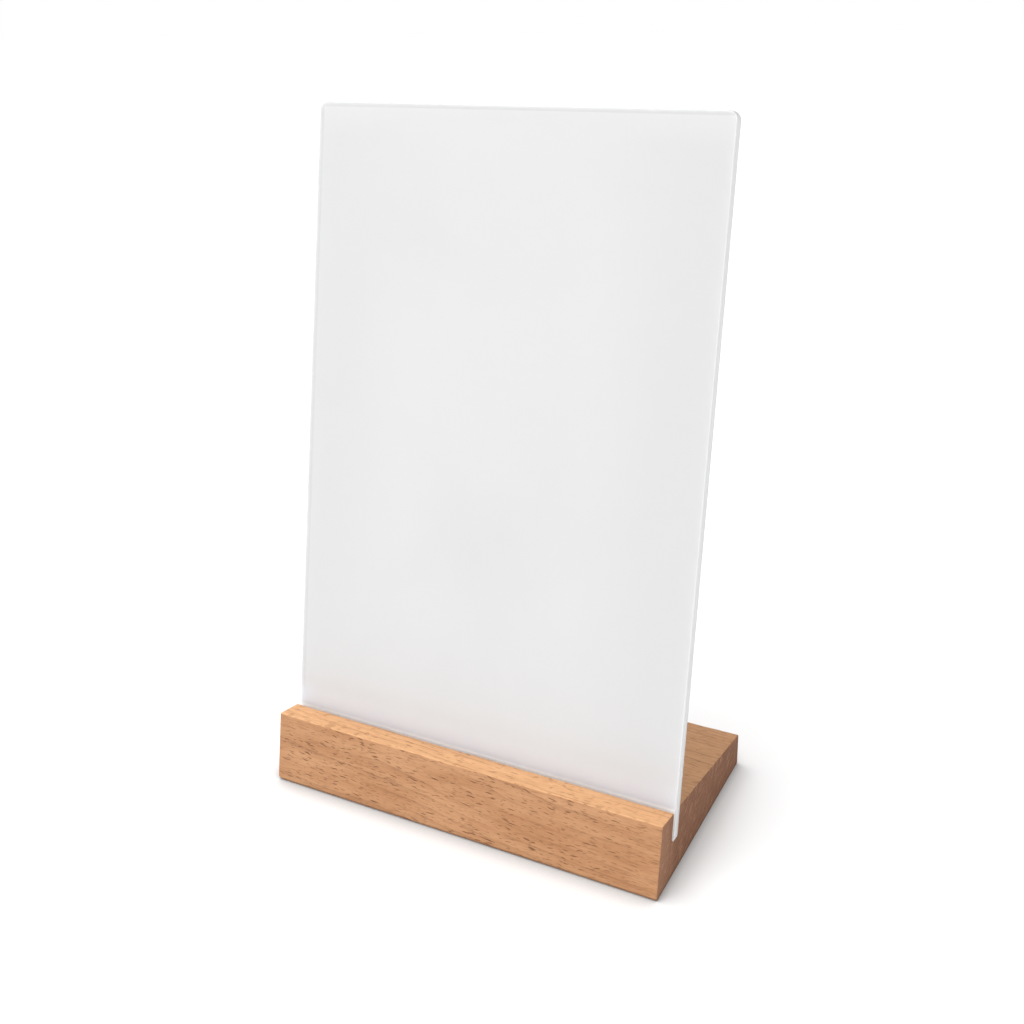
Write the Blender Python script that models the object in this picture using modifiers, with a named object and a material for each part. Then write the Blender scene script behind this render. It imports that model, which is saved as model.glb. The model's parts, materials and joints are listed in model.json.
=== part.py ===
"""Desk plaque: a wedge-shaped beech block with a slot along its length, and a blank frosted
acrylic plate that stands in the slot and leans back.

Frame: metres, +Z up, the front faces -Y. The origin is at the middle of the footprint.
"""

import math

import bmesh
import bpy
from mathutils import Matrix, Vector

# Shared angle: the block's front face, its sloping top and the slot all follow it.
LEAN = math.radians(9.4)

# Block.
BLOCK_LENGTH = 0.1500
BLOCK_DEPTH = 0.0846
FRONT_HEIGHT = 0.0259
EDGE_EASE = 0.0006

# Slot, measured along the block's sloping top and square to it.
LIP_DEPTH = 0.0102
SLOT_WIDTH = 0.0060
SLOT_DEPTH = 0.0113
CUTTER_MARGIN = 0.0100

# Plate.
PLATE_WIDTH = 0.1500
PLATE_THICKNESS = 0.0040
PLATE_HEIGHT = 0.2320
PLATE_CORNER = 0.0030
CORNER_STEPS = 8
PLATE_EDGE_EASE = 0.0003
REST_GAP = 0.0003

PART_COLLECTION = "desk_plaque"
CUTTER_COLLECTION = "desk_plaque_cutters"


def clear_scene():
    for thing in list(bpy.data.objects):
        bpy.data.objects.remove(thing, do_unlink=True)


def new_collection(name):
    group = bpy.data.collections.get(name) or bpy.data.collections.new(name)
    if name not in bpy.context.scene.collection.children:
        bpy.context.scene.collection.children.link(group)
    return group


def new_material(name, colour, roughness, metallic=0.0, transmission=0.0):
    made = bpy.data.materials.new(name)
    made.use_nodes = True
    shader = made.node_tree.nodes["Principled BSDF"]
    shader.inputs["Base Color"].default_value = (*colour, 1.0)
    shader.inputs["Roughness"].default_value = roughness
    shader.inputs["Metallic"].default_value = metallic
    shader.inputs["Transmission Weight"].default_value = transmission
    return made


def solid_from_outline(name, points, depth, placing, group):
    """A closed mesh from a flat outline, extruded to `depth` about its own plane, then placed."""
    outline = bpy.data.curves.new(name + "_outline", "CURVE")
    outline.dimensions = "2D"
    outline.fill_mode = "BOTH"
    outline.extrude = depth / 2
    spline = outline.splines.new("POLY")
    spline.points.add(len(points) - 1)
    for target, (u, v) in zip(spline.points, points):
        target.co = (u, v, 0.0, 1.0)
    spline.use_cyclic_u = True

    guide = bpy.data.objects.new(name + "_outline", outline)
    group.objects.link(guide)
    bpy.context.view_layer.update()
    evaluated = guide.evaluated_get(bpy.context.evaluated_depsgraph_get())
    mesh = bpy.data.meshes.new_from_object(evaluated)
    bpy.data.objects.remove(guide, do_unlink=True)

    work = bmesh.new()
    work.from_mesh(mesh)
    bmesh.ops.remove_doubles(work, verts=work.verts, dist=1e-6)
    bmesh.ops.recalc_face_normals(work, faces=work.faces)
    work.to_mesh(mesh)
    work.free()

    mesh.name = name
    solid = bpy.data.objects.new(name, mesh)
    solid.matrix_world = placing
    group.objects.link(solid)
    return solid


def ease_edges(solid, width, segments):
    bevel = solid.modifiers.new("eased_edges", "BEVEL")
    bevel.width = width
    bevel.segments = segments
    bevel.limit_method = "ANGLE"
    bevel.angle_limit = math.radians(30)


def block_section():
    """Corners of the block seen from its right end: (distance to the rear, height)."""
    front = -BLOCK_DEPTH / 2
    rear = BLOCK_DEPTH / 2
    front_top = front + FRONT_HEIGHT * math.tan(LEAN)
    rear_height = FRONT_HEIGHT - (rear - front_top) * math.tan(LEAN)
    return [(front, 0.0), (rear, 0.0), (rear, rear_height), (front_top, FRONT_HEIGHT)]


def lean_frame():
    """Local frame at the lip's rear top edge: X along the slot, Y to the rear along the
    sloping top, Z up the lean of the slot."""
    front_top_y, front_top_z = block_section()[3]
    lip_edge = Vector((
        0.0,
        front_top_y + LIP_DEPTH * math.cos(LEAN),
        front_top_z - LIP_DEPTH * math.sin(LEAN),
    ))
    return Matrix.Translation(lip_edge) @ Matrix.Rotation(-LEAN, 4, "X")


def build_block(parts, cutters, wood):
    along_x = Matrix((
        (0.0, 0.0, 1.0, 0.0),
        (1.0, 0.0, 0.0, 0.0),
        (0.0, 1.0, 0.0, 0.0),
        (0.0, 0.0, 0.0, 1.0),
    ))
    block = solid_from_outline("base_block", block_section(), BLOCK_LENGTH, along_x, parts)
    block.data.materials.append(wood)
    ease_edges(block, EDGE_EASE, 2)

    bpy.ops.mesh.primitive_cube_add(size=1.0)
    saw = bpy.context.active_object
    saw.name = "slot_cutter"
    for owner in list(saw.users_collection):
        owner.objects.unlink(saw)
    cutters.objects.link(saw)
    saw.data.transform(Matrix.Diagonal((
        BLOCK_LENGTH + 2 * CUTTER_MARGIN,
        SLOT_WIDTH,
        SLOT_DEPTH + CUTTER_MARGIN,
        1.0,
    )))
    saw.matrix_world = lean_frame() @ Matrix.Translation(
        (0.0, SLOT_WIDTH / 2, (CUTTER_MARGIN - SLOT_DEPTH) / 2)
    )
    saw.hide_render = True
    saw.display_type = "WIRE"

    cut = block.modifiers.new("slot", "BOOLEAN")
    cut.operation = "DIFFERENCE"
    cut.solver = "EXACT"
    cut.object = saw
    return block


def rounded_top_outline(width, height, radius, steps):
    """Outline centred across its width, counter-clockwise: square at its foot, with rounded
    corners at `height`."""
    points = [(-width / 2, 0.0), (width / 2, 0.0)]
    for side, start in ((1, 0), (-1, 90)):
        for step in range(steps + 1):
            angle = math.radians(start + 90 * step / steps)
            u = side * (width / 2 - radius) + radius * math.cos(angle)
            points.append((u, height - radius + radius * math.sin(angle)))
    return points


def build_plate(parts, acrylic):
    """The plate leans on the slot's rear wall and stands on its floor."""
    outline = rounded_top_outline(PLATE_WIDTH, PLATE_HEIGHT, PLATE_CORNER, CORNER_STEPS)
    upright = Matrix.Rotation(math.radians(90), 4, "X")
    plate_middle = SLOT_WIDTH - REST_GAP - PLATE_THICKNESS / 2
    placing = (
        lean_frame()
        @ Matrix.Translation((0.0, plate_middle, REST_GAP - SLOT_DEPTH))
        @ upright
    )
    plate = solid_from_outline("acrylic_plate", outline, PLATE_THICKNESS, placing, parts)
    plate.data.materials.append(acrylic)
    ease_edges(plate, PLATE_EDGE_EASE, 1)
    return plate


def main():
    clear_scene()
    parts = new_collection(PART_COLLECTION)
    cutters = new_collection(CUTTER_COLLECTION)
    wood = new_material("oiled_beech", (0.56, 0.30, 0.15), 0.55)
    acrylic = new_material("frosted_acrylic", (0.86, 0.86, 0.87), 0.45, transmission=0.25)
    build_block(parts, cutters, wood)
    build_plate(parts, acrylic)


main()
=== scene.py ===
import json
import math
import random

import bmesh
import bpy
from mathutils import Matrix, Vector


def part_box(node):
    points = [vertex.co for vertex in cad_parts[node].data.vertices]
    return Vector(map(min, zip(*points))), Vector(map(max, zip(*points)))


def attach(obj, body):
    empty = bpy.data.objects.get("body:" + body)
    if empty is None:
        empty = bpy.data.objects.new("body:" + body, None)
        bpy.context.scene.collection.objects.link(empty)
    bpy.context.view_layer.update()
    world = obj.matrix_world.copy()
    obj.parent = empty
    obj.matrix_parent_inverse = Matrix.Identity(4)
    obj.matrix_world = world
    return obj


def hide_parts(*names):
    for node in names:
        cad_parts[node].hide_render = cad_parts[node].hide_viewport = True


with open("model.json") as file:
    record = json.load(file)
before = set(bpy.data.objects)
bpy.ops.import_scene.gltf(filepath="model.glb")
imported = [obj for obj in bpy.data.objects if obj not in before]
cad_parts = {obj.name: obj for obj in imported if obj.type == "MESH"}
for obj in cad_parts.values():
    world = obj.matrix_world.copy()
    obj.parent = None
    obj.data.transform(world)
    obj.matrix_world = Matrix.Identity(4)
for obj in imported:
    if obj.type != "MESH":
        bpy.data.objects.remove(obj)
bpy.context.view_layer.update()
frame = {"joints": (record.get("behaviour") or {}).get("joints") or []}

# ---------------------------------------------------------------- the object's own measures

MM = 1000.0

BLOCK_LOW, BLOCK_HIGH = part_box("base_block")
PLATE_LOW, PLATE_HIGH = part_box("acrylic_plate")
LIFT_AXIS = Vector(frame["joints"][0]["axis"]).normalized()
LEAN = math.atan2(LIFT_AXIS.y, LIFT_AXIS.z)

BLOCK_LENGTH = BLOCK_HIGH.x - BLOCK_LOW.x
BLOCK_DEPTH = 0.0846
FRONT_HEIGHT = BLOCK_HIGH.z
LIP_DEPTH = 0.0102
SLOT_WIDTH = 0.0060
SLOT_DEPTH = 0.0113

PLATE_WIDTH = PLATE_HIGH.x - PLATE_LOW.x
PLATE_HEIGHT = 0.2320
PLATE_THICKNESS = 0.0040
PLATE_CORNER = 0.0030
FOOT_CORNER = 0.0006
REST_GAP = 0.0003

# Rounding of the block's edges.
FRONT_FOOT_EASE = 0.0012
REAR_FOOT_EASE = 0.0006
REAR_TOP_EASE = 0.0008
FRONT_TOP_EASE = 0.0007
SLOT_MOUTH_EASE = 0.0003
END_EASE = 0.0005
SLOT_END_EASE = 0.0002
LEFT_FOOT_EASE = 0.0022

# The top edges wander down a little along the block, as hand sanding leaves them.
STATIONS = 76
WEAR_STEP = 0.00015
WEAR_KEPT = 0.75

# The sheet's edges, rounded off in steps.
PLATE_EASE = 0.00035
PLATE_EASE_STEPS = 4
PLATE_CORNER_STEPS = 12

# Directions up the plate, and along the block's sloping top towards the rear.
UP_LEAN = Vector((0.0, math.sin(LEAN), math.cos(LEAN)))
ALONG_TOP = Vector((0.0, math.cos(LEAN), -math.sin(LEAN)))


def front_top():
    """The top of the block's front face, at the middle of its length."""
    return Vector((0.0, -BLOCK_DEPTH / 2 + FRONT_HEIGHT * math.tan(LEAN), FRONT_HEIGHT))


def lip_point():
    """The lip's rear edge, where the slot begins, at the middle of its length."""
    return front_top() + ALONG_TOP * LIP_DEPTH


def plate_point(across, height, depth):
    """A point of the sheet: `across` from its middle, `height` above its foot, `depth` behind its
    front face."""
    front_foot = (
        lip_point()
        + ALONG_TOP * (SLOT_WIDTH - REST_GAP - PLATE_THICKNESS)
        + UP_LEAN * (REST_GAP - SLOT_DEPTH)
    )
    return front_foot + Vector((across, 0.0, 0.0)) + UP_LEAN * height + ALONG_TOP * depth


# ---------------------------------------------------------------- node helpers


class Nodes:
    """Short calls for building one node tree."""

    def __init__(self, tree):
        self.tree = tree

    def add(self, kind, **settings):
        node = self.tree.nodes.new(kind)
        for key, value in settings.items():
            setattr(node, key, value)
        return node

    def link(self, source, target):
        if hasattr(source, "is_output"):
            self.tree.links.new(source, target)
        else:
            target.default_value = source

    def calculate(self, kind, operation, values):
        node = self.add(kind, operation=operation)
        for socket, value in zip(node.inputs, values):
            self.link(value, socket)
        return node

    def math(self, operation, *values):
        return self.calculate("ShaderNodeMath", operation, values).outputs[0]

    def plus(self, first, second):
        return self.math("ADD", first, second)

    def minus(self, first, second):
        return self.math("SUBTRACT", first, second)

    def times(self, first, second):
        return self.math("MULTIPLY", first, second)

    def size(self, value):
        return self.math("ABSOLUTE", value)

    def vector(self, operation, *values):
        return self.calculate("ShaderNodeVectorMath", operation, values).outputs["Vector"]

    def dot(self, first, second):
        values = (first, tuple(second))
        return self.calculate("ShaderNodeVectorMath", "DOT_PRODUCT", values).outputs["Value"]

    def noise(self, place, stretch, detail, roughness):
        node = self.add("ShaderNodeTexNoise")
        self.link(self.vector("MULTIPLY", place, stretch), node.inputs["Vector"])
        node.inputs["Scale"].default_value = 1.0
        node.inputs["Detail"].default_value = detail
        node.inputs["Roughness"].default_value = roughness
        return node.outputs["Fac"]

    def cells(self, place):
        """Distance to the nearest cell centre, and that cell's random colour."""
        node = self.add("ShaderNodeTexVoronoi", feature="F1")
        self.link(place, node.inputs["Vector"])
        node.inputs["Scale"].default_value = 1.0
        return node.outputs["Distance"], node.outputs["Color"]

    def smooth(self, value, low, high, to_low=0.0, to_high=1.0):
        node = self.add("ShaderNodeMapRange", interpolation_type="SMOOTHSTEP")
        self.link(value, node.inputs["Value"])
        node.inputs["From Min"].default_value = low
        node.inputs["From Max"].default_value = high
        node.inputs["To Min"].default_value = to_low
        node.inputs["To Max"].default_value = to_high
        return node.outputs["Result"]

    def mix(self, factor, first, second):
        node = self.add("ShaderNodeMix", data_type="RGBA")
        self.link(factor, node.inputs["Factor"])
        sockets = [s for s in node.inputs if s.type == "RGBA"]
        for socket, value in zip(sockets, (first, second)):
            self.link(value if hasattr(value, "is_output") else (*value, 1.0), socket)
        return [s for s in node.outputs if s.type == "RGBA"][0]

    def separate(self, value):
        node = self.add("ShaderNodeSeparateXYZ")
        self.link(value, node.inputs[0])
        return node.outputs

    def combine(self, x, y, z):
        node = self.add("ShaderNodeCombineXYZ")
        for socket, value in zip(node.inputs, (x, y, z)):
            self.link(value, socket)
        return node.outputs[0]

    def surface(self):
        """The place on the object in millimetres, and the normal's x, y and z."""
        coordinates = self.add("ShaderNodeTexCoord")
        place = self.vector("MULTIPLY", coordinates.outputs["Object"], (MM, MM, MM))
        return place, self.separate(coordinates.outputs["Normal"])

    def bump(self, shader, height, strength, distance):
        node = self.add("ShaderNodeBump")
        node.inputs["Strength"].default_value = strength
        node.inputs["Distance"].default_value = distance
        self.link(height, node.inputs["Height"])
        self.link(node.outputs["Normal"], shader.inputs["Normal"])


def new_material(name):
    made = bpy.data.materials.new(name)
    made.use_nodes = True
    tree = made.node_tree
    shader = next(n for n in tree.nodes if n.type == "BSDF_PRINCIPLED")
    return made, Nodes(tree), shader


def shade(colour, factor):
    return tuple(part * factor for part in colour)


# ---------------------------------------------------------------- beech

BEECH_LIGHT = (0.462, 0.228, 0.104)
BEECH_DARK = (0.200, 0.078, 0.030)
BEECH_PALE = (0.550, 0.292, 0.144)
# Dark of the rays and vessels, also used for the painted shade along the block's foot.
RAY_AND_SHADE_DARK = (0.165, 0.062, 0.023)
END_GRAIN = (0.254, 0.116, 0.066)
END_RAY = (0.450, 0.245, 0.145)

# Painted light and shade, as a factor on the long grain's colour: upward faces are painted lighter
# at the lip and darker at the rear top, in the sheet's shadow, and the other faces a little
# darker. The lip's painted light gives way to the rear's painted shade between two depths, which
# lie on either side of the slot.
LIP_PAINTED_LIGHT = (1.41, 1.50, 1.53)
REAR_PAINTED_SHADE = (0.92, 0.93, 0.90)
FRONT_PAINTED_SHADE = (0.96, 0.95, 0.95)
LIP_LIGHT_TO_REAR_SHADE_MM = (-32.0, -22.0)
FACING_UP = (0.5, 0.9)
FACING_FRONT = (0.3, 0.8)

# Noises: waves per millimetre along x, y and z, then detail and roughness.
RING_WANDER_NOISE = ((0.012, 0.030, 0.055), 2.0, 0.5)
RING_FADE_NOISE = ((0.02, 0.25, 0.12), 2.0, 0.5)
FIBRE_NOISE = ((0.22, 1.9, 1.9), 4.0, 0.65)
PATCH_NOISE = ((0.035, 0.16, 0.16), 3.0, 0.55)
BEND_NOISE = ((0.13, 0.10, 0.22), 2.0, 0.5)
CLUSTER_NOISE = ((0.03, 0.05, 0.10), 2.0, 0.5)
PORE_NOISE = ((1.5, 4.0, 4.0), 2.0, 0.6)
END_STREAK_NOISE = ((0.0, 0.22, 1.6), 3.0, 0.6)

# Where a noise starts to show and where it shows in full.
RING_FADE = (0.35, 0.70)
FIBRE_FADE = (0.45, 0.72)
PATCH_FADE = (0.32, 0.68)
CLUSTER_FADE = (0.30, 0.62)
PORE_FADE = (0.48, 0.66)
END_STREAK_FADE = (0.50, 0.68)

# Growth rings: stacked from front to rear, slightly skewed and wandering.
RING_SPACING_MM = 2.6
RING_WANDER_MM = 9.0
RING_SKEW_X = 0.055
RING_SKEW_Z = 0.42
RING_SHARPNESS = 5.0

# Dark dashes: (cell size in mm along x, y and z), tilt, share of empty cells, weight.
RAY_LAYERS = (
    ((7.6, 18.0, 0.86), 0.07, 0.44, 0.95),
    ((5.4, 15.0, 0.68), -0.03, 0.50, 0.90),
    ((3.8, 13.0, 0.52), 0.12, 0.50, 0.80),
    ((2.7, 10.0, 0.44), 0.02, 0.50, 0.60),
)
VESSEL_LAYERS = (
    ((7.0, 1.0, 2.0), 0.0, 0.55, 0.85),
    ((4.4, 0.8, 2.0), 0.0, 0.62, 0.70),
)
CELL_CHOICE_FADE = 0.12
DASH_OUTLINE = (0.27, 0.15)
RAY_BEND_MM = 2.6
VESSEL_BEND_SHARE = 0.6
RAY_SHARE_BETWEEN_CLUSTERS = 0.60
RAY_FADE_RIGHT_MM = (40.0, 74.0)
RAY_SHARE_RIGHT = 0.55
RAY_SHARE_OFF_FRONT = 0.40

# How strongly each mark shows, 0 to 1.
PATCH_EVENED_ON_TOP = 0.6
PATCH_MEAN_ON_TOP = 0.3
FIBRE_DEPTH = 0.38
RING_DEPTH = 0.46
RING_DEPTH_ADDED_ON_TOP = 0.22
VESSEL_DEPTH = 0.75
# Painted shade: a dark line along the block's lower edges, within the lowest 1.5 mm.
FOOT_PAINTED_SHADE_DEPTH = 0.6
FOOT_PAINTED_SHADE_MM = (1.5, 0.3)

# End grain: pale rays that climb to the rear, fine pores, and a paler front.
END_RAY_SLOPE = 0.6
END_STREAK_DEPTH = 0.75
END_PORE_SHADE = 0.62
END_RING_DEPTH = 0.25
END_RING_SHADE = 0.5
END_FRONT_MM = (-24.0, -38.0)
END_FRONT_DEPTH = 0.35

LONG_GRAIN_ROUGHNESS = 0.46
END_GRAIN_ROUGHNESS = 0.62
FIBRE_ROUGHNESS = 0.16
RAY_ROUGHNESS = 0.08
LONG_GRAIN_SPECULAR = 0.28
END_GRAIN_SPECULAR = 0.10
WOOD_BUMP = 0.55
WOOD_BUMP_DISTANCE = 0.00022
FIBRE_HEIGHT = 0.4


def dashes(n, x, y, z, layers):
    """Short dark dashes along X, in layers of different size and tilt."""
    result = 0.0
    for cell, tilt, empty, weight in layers:
        height = n.plus(z, n.times(x, tilt))
        distance, colour = n.cells(n.vector("DIVIDE", n.combine(x, y, height), cell))
        chosen = n.smooth(n.separate(colour)[0], empty, empty + CELL_CHOICE_FADE)
        dash = n.times(n.smooth(distance, *DASH_OUTLINE), chosen)
        result = n.math("MAXIMUM", result, n.times(dash, weight))
    return result


def grain_marks(n, place):
    """The marks inside the wood, wherever it is cut: ring lines, fibre, ray ends and vessels."""
    x, y, z = n.separate(place)
    wander = n.times(n.minus(n.noise(place, *RING_WANDER_NOISE), 0.5), RING_WANDER_MM)
    skew = n.plus(n.times(x, RING_SKEW_X), n.times(z, RING_SKEW_Z))
    radial = n.plus(n.plus(y, skew), wander)
    ring_phase = n.math("FRACT", n.math("DIVIDE", radial, RING_SPACING_MM))
    ring_strength = n.smooth(n.noise(place, *RING_FADE_NOISE), *RING_FADE)
    ring_line = n.times(n.math("POWER", ring_phase, RING_SHARPNESS), ring_strength)

    fibre = n.noise(place, *FIBRE_NOISE)

    bend = n.times(n.minus(n.noise(place, *BEND_NOISE), 0.5), RAY_BEND_MM)
    ray = dashes(n, x, y, n.plus(z, bend), RAY_LAYERS)
    cluster = n.smooth(n.noise(place, *CLUSTER_NOISE), *CLUSTER_FADE)
    cluster = n.times(cluster, 1.0 - RAY_SHARE_BETWEEN_CLUSTERS)
    ray = n.times(ray, n.plus(cluster, RAY_SHARE_BETWEEN_CLUSTERS))
    ray = n.times(ray, n.smooth(x, *RAY_FADE_RIGHT_MM, 1.0, RAY_SHARE_RIGHT))

    vessels = dashes(n, x, n.plus(y, n.times(bend, VESSEL_BEND_SHARE)), z, VESSEL_LAYERS)
    return ring_line, fibre, ray, vessels


def long_grain_colour(n, place, normal, ring_line, fibre, ray, vessels):
    on_top = n.smooth(n.size(normal[2]), *FACING_UP)
    on_front = n.smooth(n.size(normal[1]), *FACING_FRONT, RAY_SHARE_OFF_FRONT, 1.0)

    patch = n.smooth(n.noise(place, *PATCH_NOISE), *PATCH_FADE)
    patch = n.times(patch, n.minus(1.0, n.times(on_top, PATCH_EVENED_ON_TOP)))
    patch = n.plus(patch, n.times(on_top, PATCH_MEAN_ON_TOP))
    colour = n.mix(patch, BEECH_LIGHT, BEECH_PALE)
    colour = n.mix(n.times(n.smooth(fibre, *FIBRE_FADE), FIBRE_DEPTH), colour, BEECH_DARK)
    ring_depth = n.plus(RING_DEPTH, n.times(on_top, RING_DEPTH_ADDED_ON_TOP))
    colour = n.mix(n.times(ring_line, ring_depth), colour, BEECH_DARK)
    colour = n.mix(n.times(ray, on_front), colour, RAY_AND_SHADE_DARK)
    colour = n.mix(n.times(n.times(vessels, on_top), VESSEL_DEPTH), colour, RAY_AND_SHADE_DARK)

    # Painted light and shade by face: lighter on the lip, darker on the rear top, a little darker
    # elsewhere.
    to_rear_shade = n.smooth(n.separate(place)[1], *LIP_LIGHT_TO_REAR_SHADE_MM)
    painted_light_factor = n.mix(on_top, FRONT_PAINTED_SHADE, n.mix(to_rear_shade, LIP_PAINTED_LIGHT, REAR_PAINTED_SHADE))
    return n.vector("MULTIPLY", colour, painted_light_factor)


def end_grain_colour(n, place, ring_line):
    y, z = n.separate(place)[1:3]
    pores = n.smooth(n.noise(place, *PORE_NOISE), *PORE_FADE)
    colour = n.mix(pores, END_GRAIN, shade(END_GRAIN, END_PORE_SHADE))
    off_ray = n.minus(z, n.times(y, END_RAY_SLOPE))
    streak = n.smooth(n.noise(n.combine(0.0, y, off_ray), *END_STREAK_NOISE), *END_STREAK_FADE)
    colour = n.mix(n.times(streak, END_STREAK_DEPTH), colour, END_RAY)
    colour = n.mix(n.times(ring_line, END_RING_DEPTH), colour, shade(END_GRAIN, END_RING_SHADE))
    return n.mix(n.smooth(y, *END_FRONT_MM, 0.0, END_FRONT_DEPTH), colour, END_RAY)


def beech(end_grain_faces):
    """Solid beech: the grain runs along X, the rays along Y, and the rings are stacked in Y, so
    the front shows short dark ray ends, the top long rings and the ends the end grain."""
    made, n, shader = new_material("beech_end_grain" if end_grain_faces else "oiled_beech")
    place, normal = n.surface()
    ring_line, fibre, ray, vessels = grain_marks(n, place)
    if end_grain_faces:
        colour = end_grain_colour(n, place, ring_line)
        roughness = END_GRAIN_ROUGHNESS
        specular = END_GRAIN_SPECULAR
    else:
        colour = long_grain_colour(n, place, normal, ring_line, fibre, ray, vessels)
        roughness = LONG_GRAIN_ROUGHNESS
        specular = LONG_GRAIN_SPECULAR

    # Painted shade along the foot: the lowest millimetre or so darkens towards the ray colour.
    foot_painted_shade = n.times(n.smooth(n.separate(place)[2], *FOOT_PAINTED_SHADE_MM), FOOT_PAINTED_SHADE_DEPTH)
    n.link(n.mix(foot_painted_shade, colour, RAY_AND_SHADE_DARK), shader.inputs["Base Color"])
    rough = n.plus(n.times(fibre, FIBRE_ROUGHNESS), roughness)
    n.link(n.plus(rough, n.times(ray, RAY_ROUGHNESS)), shader.inputs["Roughness"])
    shader.inputs["Specular IOR Level"].default_value = specular
    height = n.minus(n.times(fibre, FIBRE_HEIGHT), ray)
    n.bump(shader, height, WOOD_BUMP, WOOD_BUMP_DISTANCE)
    return made


# ---------------------------------------------------------------- frosted acrylic

ACRYLIC_IOR = 1.49
PLATE_WHITE = (0.636, 0.636, 0.638)
PLATE_BRIGHT = shade(PLATE_WHITE, 1.035)
PLATE_RIM = shade(PLATE_WHITE, 0.93)
# Painted light: paler whites for the sheet's foot and its part inside the slot, lifting the shade
# there.
PLATE_FOOT_PAINTED_LIGHT = (0.690, 0.712, 0.755)
PLATE_IN_SLOT_PAINTED_LIGHT = (0.94, 0.945, 0.96)
EDGE_WHITE = (0.70, 0.70, 0.702)
EDGE_BRIGHT = shade(EDGE_WHITE, 1.02)
EDGE_BACK = shade(EDGE_WHITE, 0.76)
EDGE_TOP = shade(EDGE_WHITE, 0.70)

# Bands of the face, in millimetres below its top, from its left edge and above the lip. Each
# starts at the first number and is complete at the second.
# Painted light: where the brighter band under the sheet's top edge starts and ends.
TOP_LIGHT_START_MM = (1.7, 2.1)
TOP_LIGHT_END_MM = (3.5, 12.0)
RIM_TOP_MM = (1.8, 1.5)
RIM_LEFT_MM = (2.3, 1.9)
MIDDLE_MM = (66.0, 30.0)
FOOT_PAINTED_LIGHT_MM = (11.0, 1.5)
IN_SLOT_PAINTED_LIGHT_MM = (0.6, -0.4)
EDGE_BACK_MM = (1.3, 0.4)
EDGE_FACING_UP = (0.3, 0.8)

CLOUD_NOISE = ((0.014, 0.014, 0.014), 2.0, 0.5)
CLOUD_FADE = (0.2, 0.6)
SPECKLE_NOISE = ((3.0, 3.0, 3.0), 2.0, 0.6)
SAW_NOISE = ((1.2, 0.2, 1.2), 2.0, 0.5)

FACE_ROUGHNESS = 0.34
SPECKLE_ROUGHNESS = 0.10
EDGE_ROUGHNESS = 0.30
SAW_ROUGHNESS = 0.05
FACE_SCATTER = 0.003
EDGE_SCATTER = 0.001
SPECKLE_BUMP = 0.12
SPECKLE_BUMP_DISTANCE = 0.00003


def set_acrylic(shader, scatter):
    """What the sheet's faces and its cut edges share: white light scattered inside the sheet."""
    shader.inputs["IOR"].default_value = ACRYLIC_IOR
    shader.inputs["Subsurface Weight"].default_value = 1.0
    shader.inputs["Subsurface Radius"].default_value = (1.0, 1.0, 1.0)
    shader.inputs["Subsurface Scale"].default_value = scatter


def frosted_acrylic():
    """Satin white acrylic, with painted light a touch brighter under its top edge, and a darker
    rim along its top and left edges."""
    made, n, shader = new_material("frosted_acrylic")
    place = n.surface()[0]
    x = n.separate(place)[0]
    up = n.dot(place, UP_LEAN)
    from_top = n.minus(plate_point(0.0, PLATE_HEIGHT, 0.0).dot(UP_LEAN) * MM, up)
    from_left = n.plus(x, PLATE_WIDTH / 2 * MM)
    above_lip = n.minus(up, lip_point().dot(UP_LEAN) * MM)

    # Painted light: a brighter band about 2 to 12 mm under the sheet's top.
    painted_top_light = n.times(n.smooth(from_top, *TOP_LIGHT_START_MM), n.smooth(from_top, *TOP_LIGHT_END_MM, 1.0, 0.0))
    rim = n.math("MAXIMUM", n.smooth(from_top, *RIM_TOP_MM), n.smooth(from_left, *RIM_LEFT_MM))
    cloud = n.smooth(n.noise(place, *CLOUD_NOISE), *CLOUD_FADE)
    middle = n.times(n.smooth(n.size(x), *MIDDLE_MM), cloud)

    colour = n.mix(middle, PLATE_WHITE, PLATE_BRIGHT)
    colour = n.mix(painted_top_light, colour, PLATE_BRIGHT)
    colour = n.mix(rim, colour, PLATE_RIM)
    # Painted light at the foot: paler towards the lip and palest inside the slot, against the
    # slot's shade.
    colour = n.mix(n.smooth(above_lip, *FOOT_PAINTED_LIGHT_MM), colour, PLATE_FOOT_PAINTED_LIGHT)
    colour = n.mix(n.smooth(above_lip, *IN_SLOT_PAINTED_LIGHT_MM), colour, PLATE_IN_SLOT_PAINTED_LIGHT)
    n.link(colour, shader.inputs["Base Color"])

    speckle = n.noise(place, *SPECKLE_NOISE)
    rough = n.plus(n.times(speckle, SPECKLE_ROUGHNESS), FACE_ROUGHNESS)
    n.link(rough, shader.inputs["Roughness"])
    set_acrylic(shader, FACE_SCATTER)
    n.bump(shader, speckle, SPECKLE_BUMP, SPECKLE_BUMP_DISTANCE)
    return made


def cut_edge_acrylic():
    """The sheet's cut and eased edges: the same acrylic, darker at the back and on top."""
    made, n, shader = new_material("acrylic_cut_edge")
    place, normal = n.surface()
    saw = n.noise(place, *SAW_NOISE)
    back = plate_point(0.0, 0.0, PLATE_THICKNESS).dot(ALONG_TOP) * MM
    from_back = n.minus(back, n.dot(place, ALONG_TOP))

    colour = n.mix(saw, EDGE_WHITE, EDGE_BRIGHT)
    colour = n.mix(n.smooth(from_back, *EDGE_BACK_MM), colour, EDGE_BACK)
    colour = n.mix(n.smooth(normal[2], *EDGE_FACING_UP), colour, EDGE_TOP)
    n.link(colour, shader.inputs["Base Color"])
    n.link(n.plus(n.times(saw, SAW_ROUGHNESS), EDGE_ROUGHNESS), shader.inputs["Roughness"])
    set_acrylic(shader, EDGE_SCATTER)
    return made


# ---------------------------------------------------------------- geometry


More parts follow.
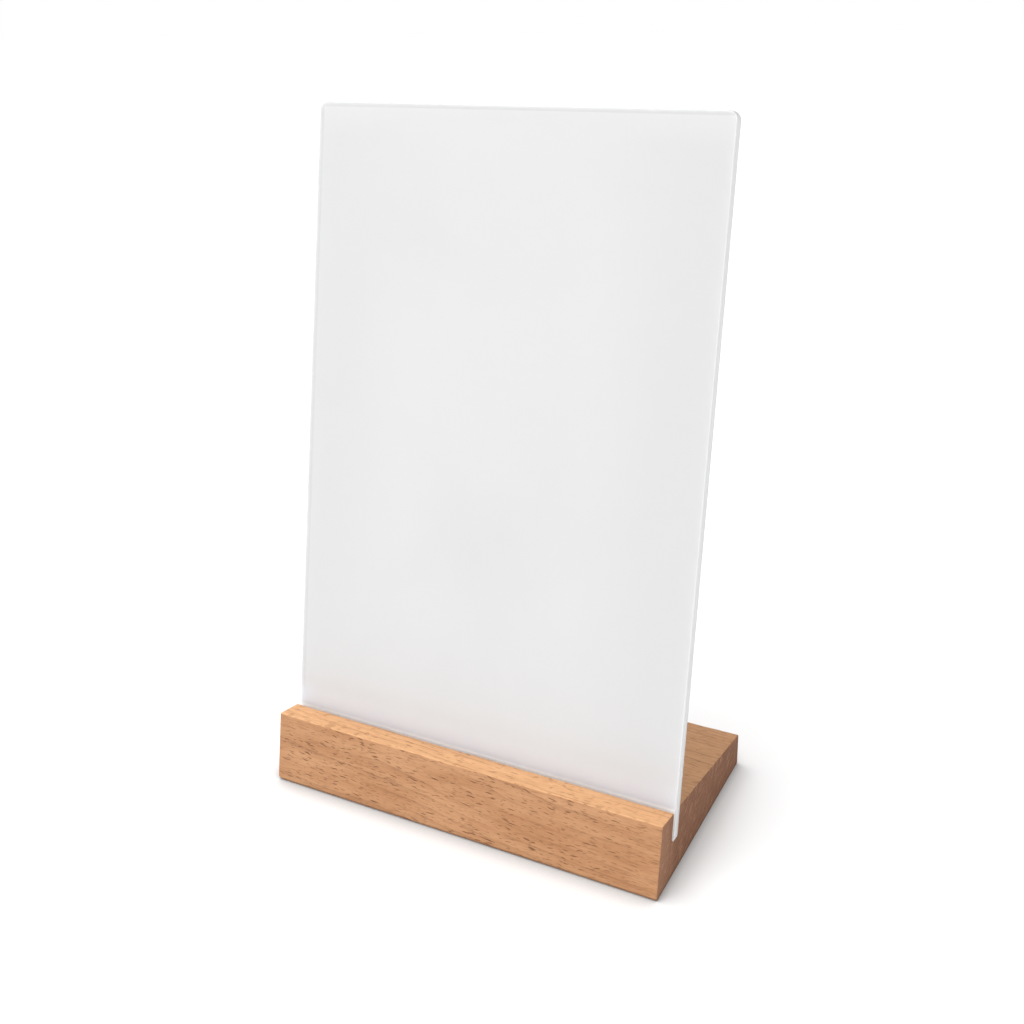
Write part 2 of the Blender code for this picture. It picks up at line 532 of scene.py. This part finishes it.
def block_section():
    """(y, z, ease, worn) of each corner, seen from the right end, counter-clockwise from the front
    foot. ease rounds the long edge through that corner, and a worn edge wanders down a little."""
    top = front_top()
    rear = BLOCK_DEPTH / 2
    rear_height = FRONT_HEIGHT - (rear - top.y) * math.tan(LEAN)
    lip = lip_point()
    floor_front = lip - UP_LEAN * SLOT_DEPTH
    floor_rear = floor_front + ALONG_TOP * SLOT_WIDTH
    rear_lip = lip + ALONG_TOP * SLOT_WIDTH
    return [
        (-BLOCK_DEPTH / 2, 0.0, FRONT_FOOT_EASE, False),
        (rear, 0.0, REAR_FOOT_EASE, False),
        (rear, rear_height, REAR_TOP_EASE, True),
        (rear_lip.y, rear_lip.z, SLOT_MOUTH_EASE, False),
        (floor_rear.y, floor_rear.z, 0.0, False),
        (floor_front.y, floor_front.z, 0.0, False),
        (lip.y, lip.z, SLOT_MOUTH_EASE, True),
        (top.y, top.z, FRONT_TOP_EASE, True),
    ]


# The section's sides that bound the slot, counted from the corner each starts at.
SLOT_SIDES = (3, 4, 5)
EASE_MAX = LEFT_FOOT_EASE


def make_block(long_grain, end_grain):
    """The section swept along the block in stations, with weights for the bevel that eases it."""
    section = block_section()
    count = len(section)
    wear = random.Random(11)
    mesh = bpy.data.meshes.new("beech_block")
    work = bmesh.new()
    weight = work.edges.layers.float.new("bevel_weight_edge")
    rows = []
    drops = [0.0] * count
    for station in range(STATIONS + 1):
        x = -BLOCK_LENGTH / 2 + BLOCK_LENGTH * station / STATIONS
        inside = 0 < station < STATIONS
        row = []
        for index, (y, z, _, worn) in enumerate(section):
            step = wear.uniform(-WEAR_STEP, 0.0) if worn and inside else 0.0
            drops[index] = drops[index] * WEAR_KEPT + step
            row.append(work.verts.new((x, y, z + drops[index])))
        rows.append(row)

    for first, second in zip(rows, rows[1:]):
        for i in range(count):
            j = (i + 1) % count
            work.faces.new((first[i], second[i], second[j], first[j]))
            work.edges.get((first[i], second[i]))[weight] = section[i][2] / EASE_MAX
    left = work.faces.new(rows[0])
    right = work.faces.new(list(reversed(rows[-1])))
    bmesh.ops.recalc_face_normals(work, faces=work.faces)
    for cap, row in ((left, rows[0]), (right, rows[-1])):
        cap.material_index = 1
        for i in range(count):
            ease = SLOT_END_EASE if i in SLOT_SIDES else END_EASE
            work.edges.get((row[i], row[(i + 1) % count]))[weight] = ease / EASE_MAX
    work.edges.get((rows[0][0], rows[0][1]))[weight] = LEFT_FOOT_EASE / EASE_MAX
    work.to_mesh(mesh)
    work.free()

    mesh.shade_smooth()
    block = bpy.data.objects.new("beech_block", mesh)
    bpy.context.scene.collection.objects.link(block)
    mesh.materials.append(long_grain)
    mesh.materials.append(end_grain)
    bevel = block.modifiers.new("eased_edges", "BEVEL")
    bevel.limit_method = "WEIGHT"
    bevel.width = EASE_MAX
    bevel.segments = 4
    bevel.harden_normals = True
    bevel.use_clamp_overlap = False
    return block


def rounded_outline(width, height, foot, top, steps):
    """Outline centred across its width, from 0 up to `height`, with a radius for the foot corners
    and one for the top corners."""
    corners = [
        (width / 2 - foot, foot, foot, -90),
        (width / 2 - top, height - top, top, 0),
        (top - width / 2, height - top, top, 90),
        (foot - width / 2, foot, foot, 180),
    ]
    points = []
    for centre_u, centre_v, radius, start in corners:
        for step in range(steps + 1):
            angle = math.radians(start + 90 * step / steps)
            u = centre_u + radius * math.cos(angle)
            v = centre_v + radius * math.sin(angle)
            points.append((u, v))
    return points


def make_plate(face_material, edge_material):
    """The sheet, with eased edges: rings of the outline from the front face to the back face."""
    rings = []
    for step in range(PLATE_EASE_STEPS + 1):
        angle = math.radians(90 * step / PLATE_EASE_STEPS)
        rings.append((PLATE_EASE * (1 - math.sin(angle)), PLATE_EASE * (1 - math.cos(angle))))
    rings += [(inset, PLATE_THICKNESS - depth) for inset, depth in reversed(rings)]

    mesh = bpy.data.meshes.new("frosted_sheet")
    work = bmesh.new()
    loops = []
    for inset, depth in rings:
        outline = rounded_outline(
            PLATE_WIDTH - 2 * inset,
            PLATE_HEIGHT - 2 * inset,
            FOOT_CORNER - inset,
            PLATE_CORNER - inset,
            PLATE_CORNER_STEPS,
        )
        loops.append([work.verts.new(plate_point(u, v + inset, depth)) for u, v in outline])
    count = len(loops[0])
    for first, second in zip(loops, loops[1:]):
        for i in range(count):
            j = (i + 1) % count
            face = work.faces.new((first[i], first[j], second[j], second[i]))
            face.material_index = 1
            face.smooth = True
    for cap in (work.faces.new(list(reversed(loops[0]))), work.faces.new(loops[-1])):
        cap.material_index = 0
        cap.smooth = False
    bmesh.ops.recalc_face_normals(work, faces=work.faces)
    work.to_mesh(mesh)
    work.free()

    sheet = bpy.data.objects.new("frosted_sheet", mesh)
    bpy.context.scene.collection.objects.link(sheet)
    mesh.materials.append(face_material)
    mesh.materials.append(edge_material)
    return sheet


# ---------------------------------------------------------------- studio

CAMERA_PLACE = Vector((0.1842, -0.3433, 0.2680))
CAMERA_HEADING = 27.42
CAMERA_PITCH = 17.92
CAMERA_ROLL = 0.82
CAMERA_LENS = 42.5
CAMERA_SENSOR = 36.0
CAMERA_SHIFT = (-0.0064, -0.0996)

# The world looks white to the camera and lights the object less strongly.
WORLD_SEEN = 1.0
WORLD_STRENGTH = 0.70
WHITE = (1.0, 1.0, 1.0, 1.0)

# Two wide suns: name, the direction they shine from, width in degrees, strength.
SUNS = (
    ("key", Vector((-0.26, -0.04, 0.96)), 60, 2.1),
    ("fill", Vector((-0.45, -0.85, 0.25)), 60, 1.15),
)

# A pale floor with painted shadow: its colour darkens close to the block, less so at the block's
# right end, where its shadow already falls.
FLOOR_SIZE = 40.0
FLOOR_WHITE = (0.83, 0.83, 0.83)
FLOOR_GLOW = 0.03
FLOOR_ROUGHNESS = 0.7
FLOOR_SPECULAR = 0.2
CONTACT_PAINTED_SHADOW = (0.50, 0.505, 0.505)
CONTACT_PAINTED_SHADOW_RIGHT = (0.69, 0.70, 0.705)
CONTACT_REACH = 0.011
CONTACT_FADE = (0.50, 0.97)
CONTACT_SAMPLES = 8
RIGHT_SIDE = (BLOCK_HIGH.x - 0.001, BLOCK_HIGH.x + 0.003)


def make_camera():
    data = bpy.data.cameras.new("camera")
    camera = bpy.data.objects.new("camera", data)
    bpy.context.scene.collection.objects.link(camera)
    heading = Matrix.Rotation(math.radians(CAMERA_HEADING), 4, "Z")
    pitch = Matrix.Rotation(math.radians(90 - CAMERA_PITCH), 4, "X")
    roll = Matrix.Rotation(math.radians(-CAMERA_ROLL), 4, "Z")
    camera.matrix_world = Matrix.Translation(CAMERA_PLACE) @ heading @ pitch @ roll
    data.lens = CAMERA_LENS
    data.sensor_width = CAMERA_SENSOR
    data.shift_x, data.shift_y = CAMERA_SHIFT
    data.clip_start = 0.01
    bpy.context.scene.camera = camera


def make_world():
    world = bpy.data.worlds.new("studio")
    bpy.context.scene.world = world
    world.use_nodes = True
    tree = world.node_tree
    tree.nodes.clear()
    n = Nodes(tree)
    path = n.add("ShaderNodeLightPath")
    mixer = n.add("ShaderNodeMixShader")
    n.link(path.outputs["Is Camera Ray"], mixer.inputs[0])
    for index, strength in ((1, WORLD_STRENGTH), (2, WORLD_SEEN)):
        background = n.add("ShaderNodeBackground")
        background.inputs["Strength"].default_value = strength
        background.inputs["Color"].default_value = WHITE
        n.link(background.outputs[0], mixer.inputs[index])
    out = n.add("ShaderNodeOutputWorld")
    n.link(mixer.outputs[0], out.inputs["Surface"])


def make_floor():
    bpy.ops.mesh.primitive_plane_add(size=FLOOR_SIZE, location=(0, 0, 0))
    floor = bpy.context.active_object
    floor.name = "floor"
    made, n, shader = new_material("pale_floor")
    # Painted shadow: ambient occlusion mixes the floor's colour towards grey near the block.
    contact = n.add("ShaderNodeAmbientOcclusion", samples=CONTACT_SAMPLES)
    contact.inputs["Distance"].default_value = CONTACT_REACH
    open_sky = n.smooth(contact.outputs["AO"], *CONTACT_FADE)
    floor_x = n.separate(n.add("ShaderNodeTexCoord").outputs["Object"])[0]
    right_side = n.smooth(floor_x, *RIGHT_SIDE)
    painted_contact_shadow = n.mix(right_side, CONTACT_PAINTED_SHADOW, CONTACT_PAINTED_SHADOW_RIGHT)
    n.link(n.mix(open_sky, painted_contact_shadow, FLOOR_WHITE), shader.inputs["Base Color"])
    shader.inputs["Roughness"].default_value = FLOOR_ROUGHNESS
    shader.inputs["Specular IOR Level"].default_value = FLOOR_SPECULAR
    shader.inputs["Emission Color"].default_value = WHITE
    shader.inputs["Emission Strength"].default_value = FLOOR_GLOW
    floor.data.materials.append(made)


def make_suns():
    for name, shines_from, angle, strength in SUNS:
        data = bpy.data.lights.new(name, "SUN")
        data.angle = math.radians(angle)
        data.energy = strength
        light = bpy.data.objects.new(name, data)
        bpy.context.scene.collection.objects.link(light)
        light.location = shines_from
        light.rotation_euler = (-shines_from).to_track_quat("-Z", "Y").to_euler()


def main():
    make_world()
    make_floor()
    make_suns()
    bpy.context.scene.view_settings.view_transform = "Standard"
    make_camera()
    block = make_block(beech(False), beech(True))
    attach(block, "base")
    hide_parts("base_block")
    sheet = make_plate(frosted_acrylic(), cut_edge_acrylic())
    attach(sheet, "plate")
    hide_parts("acrylic_plate")


main()
